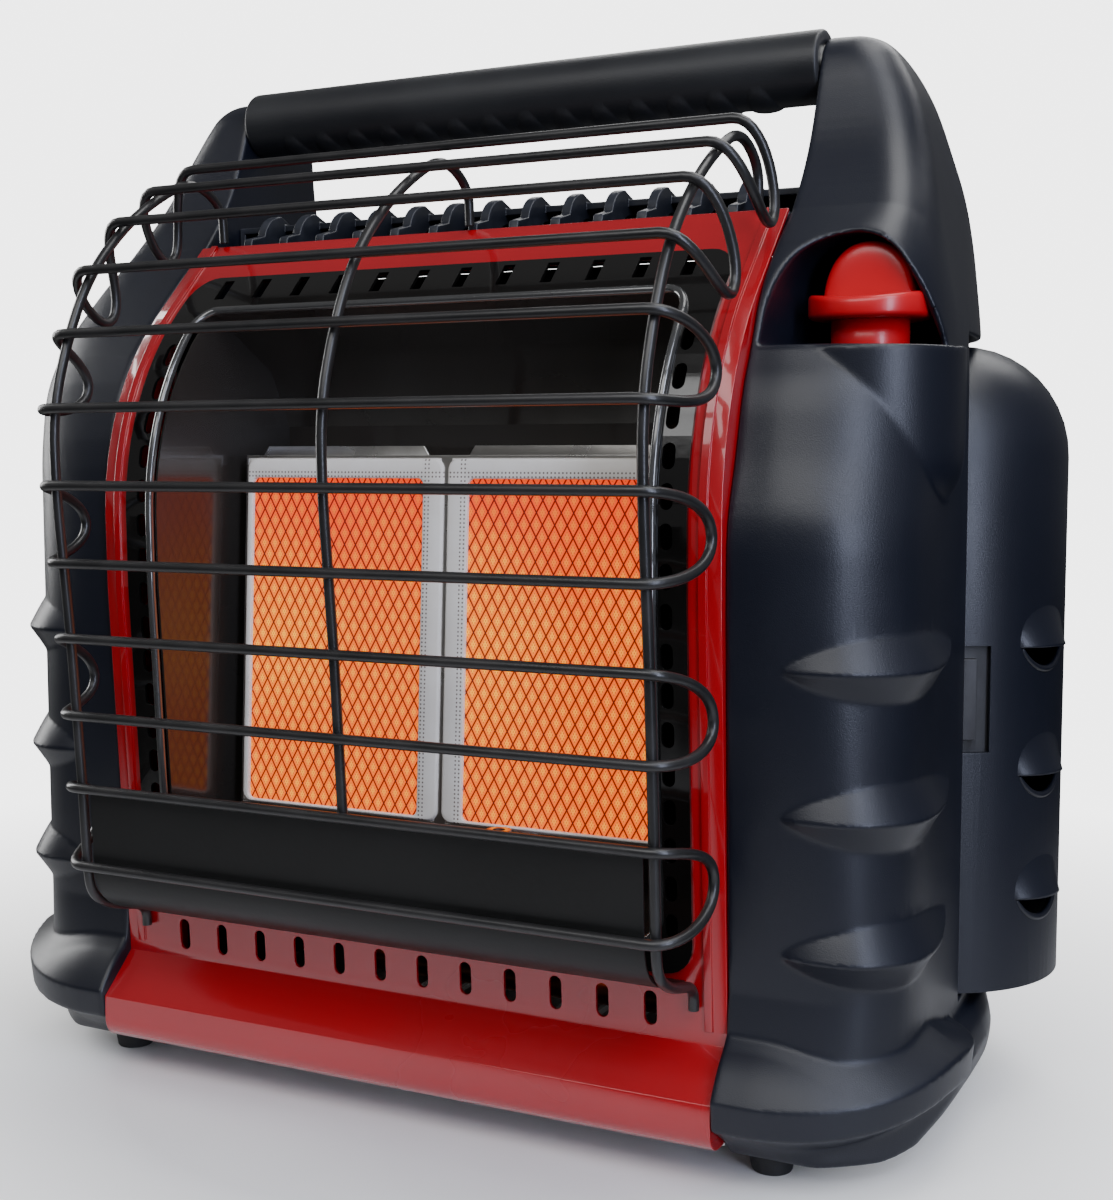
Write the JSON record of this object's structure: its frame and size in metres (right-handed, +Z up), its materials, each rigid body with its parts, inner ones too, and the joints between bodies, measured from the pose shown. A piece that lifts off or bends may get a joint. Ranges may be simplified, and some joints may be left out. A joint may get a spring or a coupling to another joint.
{
  "type": "portable propane radiant heater",
  "caption": "Portable twin-burner propane heater with a red enamelled casing, wire guard, glowing ceramic plaques, dark side covers, carrying handle and swing-out cylinder covers.",
  "frame": {"origin": "On the floor, in the middle of the heater's bounding box", "axes": "+X to the right seen from the front, +Y from the front to the back, +Z up"},
  "size_m": [0.456, 0.265, 0.432],
  "materials": {
    "red_enamel": "satin",
    "black_enamel": "gloss",
    "heat_darkened_steel": "satin",
    "bright_steel": "brushed",
    "plated_steel": "satin",
    "plaque_ceramic": "matte",
    "brass": "satin",
    "copper_pipe": "satin",
    "cast_alloy": "cast",
    "red_plastic": "gloss",
    "white_ceramic": "satin",
    "black_wire": "satin",
    "cover_plastic": "satin",
    "grille_plastic": "satin",
    "dark_plastic": "textured",
    "grey_plastic": "satin",
    "grip_rubber": "matte",
    "foot_rubber": "matte"
  },
  "bodies": {
    "heater": {"front_casing": "red_enamel", "enamel_surround": "black_enamel", "reflector_box": "heat_darkened_steel", "heat_shield": "black_enamel", "burner_frame": "bright_steel", "plaque_left": "plaque_ceramic", "plaque_right": "plaque_ceramic", "burner_plenum_left": "plated_steel", "burner_plenum_right": "plated_steel", "mixer_tube_left": "plated_steel", "mixer_tube_right": "plated_steel", "gas_jets": "brass", "gas_manifold": "copper_pipe", "supply_manifold": "copper_pipe", "swivel_nuts": "brass", "valve_body": "brass", "return_spring": "bright_steel", "pilot_burner": "bright_steel", "pilot_tube": "copper_pipe", "thermocouple": "copper_pipe", "igniter_electrode": "white_ceramic", "guard_rings": "black_wire", "guard_uprights": "black_wire", "rear_panel": "dark_plastic", "base_pan": "plated_steel", "top_grille": "grille_plastic", "side_cover_left": "cover_plastic", "side_cover_right": "cover_plastic", "handle_grip": "grip_rubber", "handle_tube": "plated_steel", "handle_screws": "plated_steel", "hinge_pins": "bright_steel", "fan_shroud": "dark_plastic", "fan_motor": "plated_steel", "fan_switch_body": "dark_plastic", "power_jack": "dark_plastic", "battery_tray": "dark_plastic", "battery_contacts": "bright_steel", "battery_door_pin": "bright_steel", "tilt_switch_body": "grey_plastic", "casing_screws": "plated_steel", "rubber_feet": "foot_rubber"},
    "regulator_left": {"regulator_left": "cast_alloy"},
    "regulator_right": {"regulator_right": "cast_alloy"},
    "knob_pusher": {"spindle_collar": "plated_steel"},
    "knob": {"valve_spindle": "bright_steel", "control_knob": "red_plastic"},
    "tank_cover_left": {"tank_cover_left": "cover_plastic"},
    "tank_cover_right": {"tank_cover_right": "cover_plastic"},
    "latch_left": {"latch_tab_left": "dark_plastic"},
    "latch_right": {"latch_tab_right": "dark_plastic"},
    "fan_rotor": {"fan_shaft": "bright_steel", "fan_impeller": "grey_plastic"},
    "fan_rocker": {"fan_rocker": "dark_plastic"},
    "battery_door": {"battery_door": "dark_plastic"},
    "tilt_pendulum": {"tilt_pendulum": "brass"}
  },
  "joints": [
    {"name": "knob_press", "type": "slide", "parent": "heater", "child": "knob_pusher", "axis": [0, 0, -1], "range_m": [0, 0.004], "stiffness_N_per_m": 1500, "springref_m": -0.003, "deforming": ["return_spring"]},
    {"name": "knob_turn", "type": "hinge", "parent": "knob_pusher", "child": "knob", "pos_m": [0.17, -0.0155, 0.3], "axis": [0, 0, -1], "range_deg": [0, 270]},
    {"name": "tank_cover_right_hinge", "type": "hinge", "parent": "heater", "child": "tank_cover_right", "pos_m": [0.14932, 0.1265, 0.18], "axis": [0, 0, 1], "range_deg": [0, 100]},
    {"name": "tank_cover_left_hinge", "type": "hinge", "parent": "heater", "child": "tank_cover_left", "pos_m": [-0.14932, 0.1265, 0.18], "axis": [0, 0, -1], "range_deg": [0, 100]},
    {"name": "latch_right_press", "type": "slide", "parent": "tank_cover_right", "child": "latch_right", "axis": [-0.5476, 0.8368, 0], "range_m": [0, 0.003], "stiffness_N_per_m": 800, "springref_m": -0.002},
    {"name": "latch_left_press", "type": "slide", "parent": "tank_cover_left", "child": "latch_left", "axis": [0.5476, 0.8368, 0], "range_m": [0, 0.003], "stiffness_N_per_m": 800, "springref_m": -0.002},
    {"name": "regulator_right_swivel", "type": "hinge", "parent": "heater", "child": "regulator_right", "pos_m": [0.1555, 0.0705, 0.27], "axis": [0, -1, 0], "range_deg": [0, 30]},
    {"name": "regulator_left_swivel", "type": "hinge", "parent": "heater", "child": "regulator_left", "pos_m": [-0.1555, 0.0705, 0.27], "axis": [0, 1, 0], "range_deg": [0, 30]},
    {"name": "fan_spin", "type": "hinge", "parent": "heater", "child": "fan_rotor", "pos_m": [0, 0.1145, 0.25], "axis": [0, 1, 0], "continuous": true},
    {"name": "fan_rocker_tilt", "type": "hinge", "parent": "heater", "child": "fan_rocker", "pos_m": [-0.07, 0.1265, 0.342], "axis": [0, 0, 1], "range_deg": [-9, 0]},
    {"name": "battery_door_hinge", "type": "hinge", "parent": "heater", "child": "battery_door", "pos_m": [0, 0.1297, 0.019], "axis": [-1, 0, 0], "range_deg": [0, 90]},
    {"name": "tilt_pendulum_swing", "type": "hinge", "parent": "heater", "child": "tilt_pendulum", "pos_m": [-0.095, 0.0445, 0.042], "axis": [1, 0, 0], "range_deg": [-25, 25]}
  ]
}
